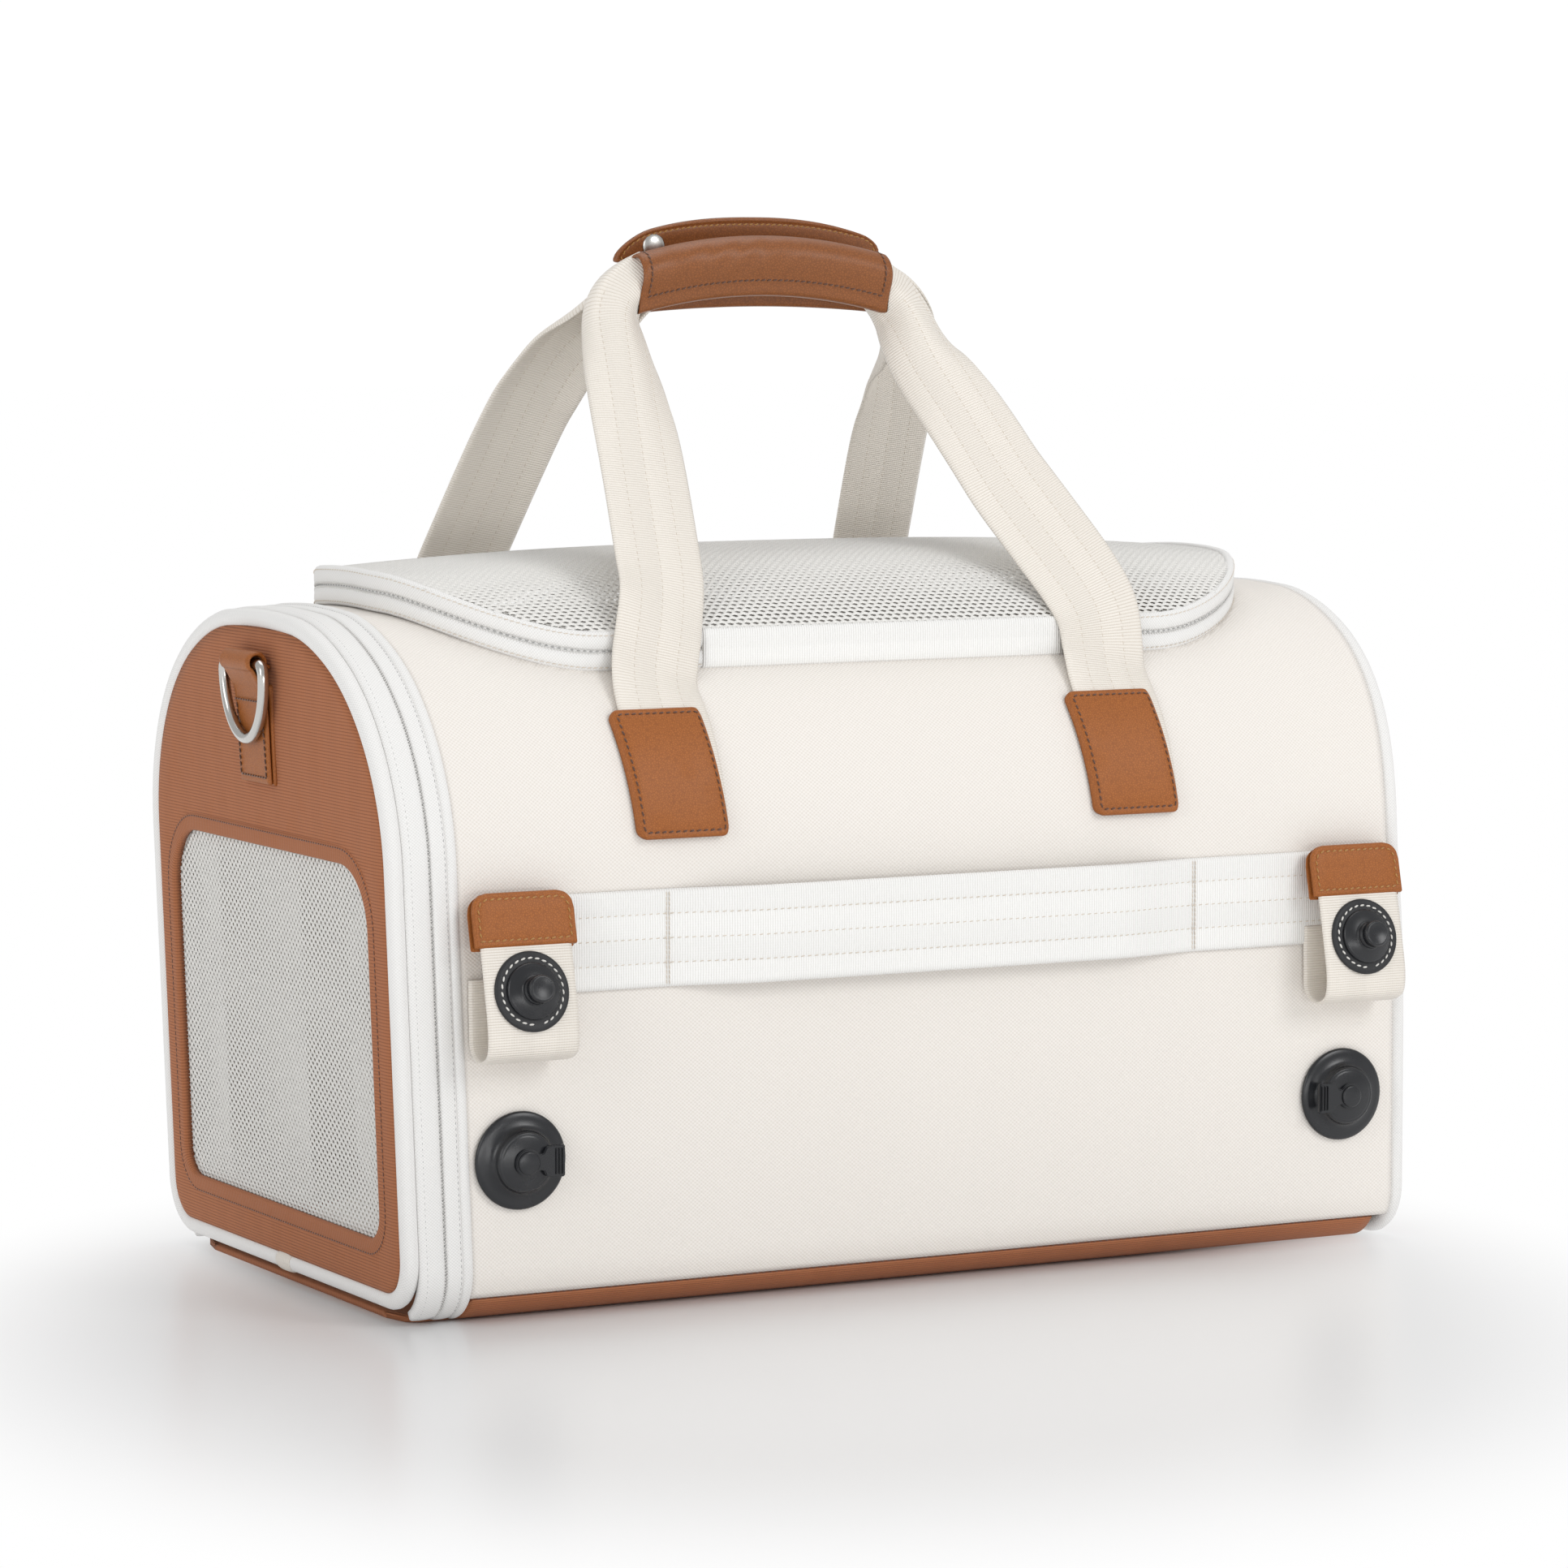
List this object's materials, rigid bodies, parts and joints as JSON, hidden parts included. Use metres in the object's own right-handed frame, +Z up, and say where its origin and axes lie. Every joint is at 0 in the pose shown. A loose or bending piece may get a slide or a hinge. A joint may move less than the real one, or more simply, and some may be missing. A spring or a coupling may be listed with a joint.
{
  "type": "pet carrier bag",
  "caption": "Soft-sided pet carrier bag with a zipped mesh end door, a domed mesh lid, webbing handles with a leather grip, and stud loops with release sockets.",
  "frame": {"origin": "on the ground under the middle of the base", "axes": "+X along the bag, away from the zipped door; +Z up; the side with the webbing band faces -Y"},
  "size_m": [0.4835, 0.2741, 0.422],
  "materials": {
    "cream_fabric": "matt",
    "tan_fabric": "matt",
    "brown_leather": "satin",
    "cream_webbing": "satin",
    "zip_tape": "matt",
    "mesh_fabric": "matt",
    "base_board": "matt",
    "fleece": "matt",
    "foam": "matt",
    "black_plastic": "satin",
    "black_leather": "satin",
    "nickel": "satin"
  },
  "bodies": {
    "body": {"shell_front": "cream_fabric", "shell_rear": "cream_fabric", "base_panel": "tan_fabric", "base_board": "base_board", "cushion_mat": "fleece", "front_stiffener": "foam", "rear_stiffener": "foam", "end_piping": "zip_tape", "end_panel": "tan_fabric", "end_mesh": "mesh_fabric", "body_zip_ring": "zip_tape", "lid_zip_band_body": "zip_tape", "trolley_band": "cream_webbing", "front_patch_left": "brown_leather", "front_patch_right": "brown_leather", "rear_patch_left": "brown_leather", "rear_patch_right": "brown_leather", "loop_back_left": "cream_webbing", "loop_back_right": "cream_webbing", "socket_left": "black_plastic", "socket_right": "black_plastic", "dring_tab_right": "brown_leather"},
    "door": {"door_piping": "zip_tape", "door_panel": "tan_fabric", "door_mesh": "mesh_fabric", "door_zip_ring": "zip_tape", "piping_join": "cream_webbing", "dring_tab_left": "brown_leather"},
    "lid": {"lid_mesh": "mesh_fabric", "lid_zip_band": "zip_tape", "lid_hinge_strip": "cream_webbing"},
    "front_handle": {"front_strap_left": "cream_webbing", "front_strap_right": "cream_webbing", "front_grip": "brown_leather"},
    "rear_handle": {"rear_strap_left": "cream_webbing", "rear_strap_right": "cream_webbing", "rear_grip": "brown_leather"},
    "flap": {"grip_flap": "brown_leather", "flap_snap": "nickel"},
    "dring_door": {"dring_left": "nickel"},
    "dring_end": {"dring_right": "nickel"},
    "stud_loop_left": {"loop_front_left": "cream_webbing", "loop_tab_left": "brown_leather", "stud_patch_left": "black_leather", "stud_left": "black_plastic"},
    "stud_loop_right": {"loop_front_right": "cream_webbing", "loop_tab_right": "brown_leather", "stud_patch_right": "black_leather", "stud_right": "black_plastic"},
    "release_left": {"release_tab_left": "black_plastic"},
    "release_right": {"release_tab_right": "black_plastic"},
    "slider_left": {"lid_slider_left": "nickel"},
    "slider_right": {"lid_slider_right": "nickel"},
    "slider_door": {"door_slider": "nickel"},
    "pull_left": {"lid_pull_left": "brown_leather"},
    "pull_right": {"lid_pull_right": "brown_leather"},
    "pull_door": {"door_pull": "brown_leather"}
  },
  "joints": [
    {"name": "door_hinge", "type": "hinge", "parent": "body", "child": "door", "pos_m": [-0.222, 0, 0.0055], "axis": [0, -1, 0], "range_deg": [0, 83]},
    {"name": "lid_hinge", "type": "hinge", "parent": "body", "child": "lid", "pos_m": [0, -0.0862, 0.24566], "axis": [1, 0, 0], "range_deg": [0, 95]},
    {"name": "front_handle_swing", "type": "hinge", "parent": "body", "child": "front_handle", "pos_m": [0, -0.1042, 0.2335], "axis": [1, 0, 0], "range_deg": [0, 145]},
    {"name": "rear_handle_swing", "type": "hinge", "parent": "body", "child": "rear_handle", "pos_m": [0, 0.1042, 0.2335], "axis": [-1, 0, 0], "range_deg": [0, 145]},
    {"name": "grip_flap_fold", "type": "hinge", "parent": "rear_handle", "child": "flap", "pos_m": [0, 0.011, 0.4092], "axis": [1, 0, 0], "range_deg": [0, 75]},
    {"name": "dring_door_swing", "type": "hinge", "parent": "door", "child": "dring_door", "pos_m": [-0.24294, 0, 0.24838], "axis": [0, 1, 0], "range_deg": [0, 165]},
    {"name": "dring_end_swing", "type": "hinge", "parent": "body", "child": "dring_end", "pos_m": [0.231, 0, 0.249], "axis": [0, -1, 0], "range_deg": [0, 165]},
    {"name": "release_left_slide", "type": "slide", "parent": "body", "child": "release_left", "axis": [1, 0, 0], "range_m": [0, 0.0025], "stiffness_N_per_m": 300},
    {"name": "release_right_slide", "type": "slide", "parent": "body", "child": "release_right", "axis": [-1, 0, 0], "range_m": [0, 0.0025], "stiffness_N_per_m": 300},
    {"name": "lid_slider_left_run", "type": "slide", "parent": "body", "child": "slider_left", "axis": [-1, 0, 0], "range_m": [0, 0.035]},
    {"name": "lid_slider_right_run", "type": "slide", "parent": "body", "child": "slider_right", "axis": [1, 0, 0], "range_m": [0, 0.035]},
    {"name": "door_slider_run", "type": "slide", "parent": "body", "child": "slider_door", "axis": [-0.0384, 0, 0.9993], "range_m": [0, 0.12]},
    {"name": "lid_pull_left_swing", "type": "hinge", "parent": "slider_left", "child": "pull_left", "pos_m": [-0.027, 0.09, 0.25336], "axis": [0, 0, -1], "range_deg": [0, 100]},
    {"name": "lid_pull_right_swing", "type": "hinge", "parent": "slider_right", "child": "pull_right", "pos_m": [-0.003, 0.09, 0.25336], "axis": [0, 0, 1], "range_deg": [0, 100]},
    {"name": "door_pull_swing", "type": "hinge", "parent": "slider_door", "child": "pull_door", "pos_m": [-0.21223, 0.124, 0.0404], "axis": [1, 0, 0], "range_deg": [0, 100]},
    {"name": "stud_loop_left_fold", "type": "hinge", "parent": "body", "child": "stud_loop_left", "pos_m": [-0.1835, -0.1423, 0.112], "axis": [1, 0, 0], "range_deg": [0, 160]},
    {"name": "stud_loop_right_fold", "type": "hinge", "parent": "body", "child": "stud_loop_right", "pos_m": [0.192, -0.1423, 0.112], "axis": [1, 0, 0], "range_deg": [0, 160]}
  ],
  "couplings": [
    {"joint": "front_handle_swing", "follows": "lid_hinge", "ratio": 1.5},
    {"joint": "rear_handle_swing", "follows": "lid_hinge", "ratio": 1.5}
  ]
}
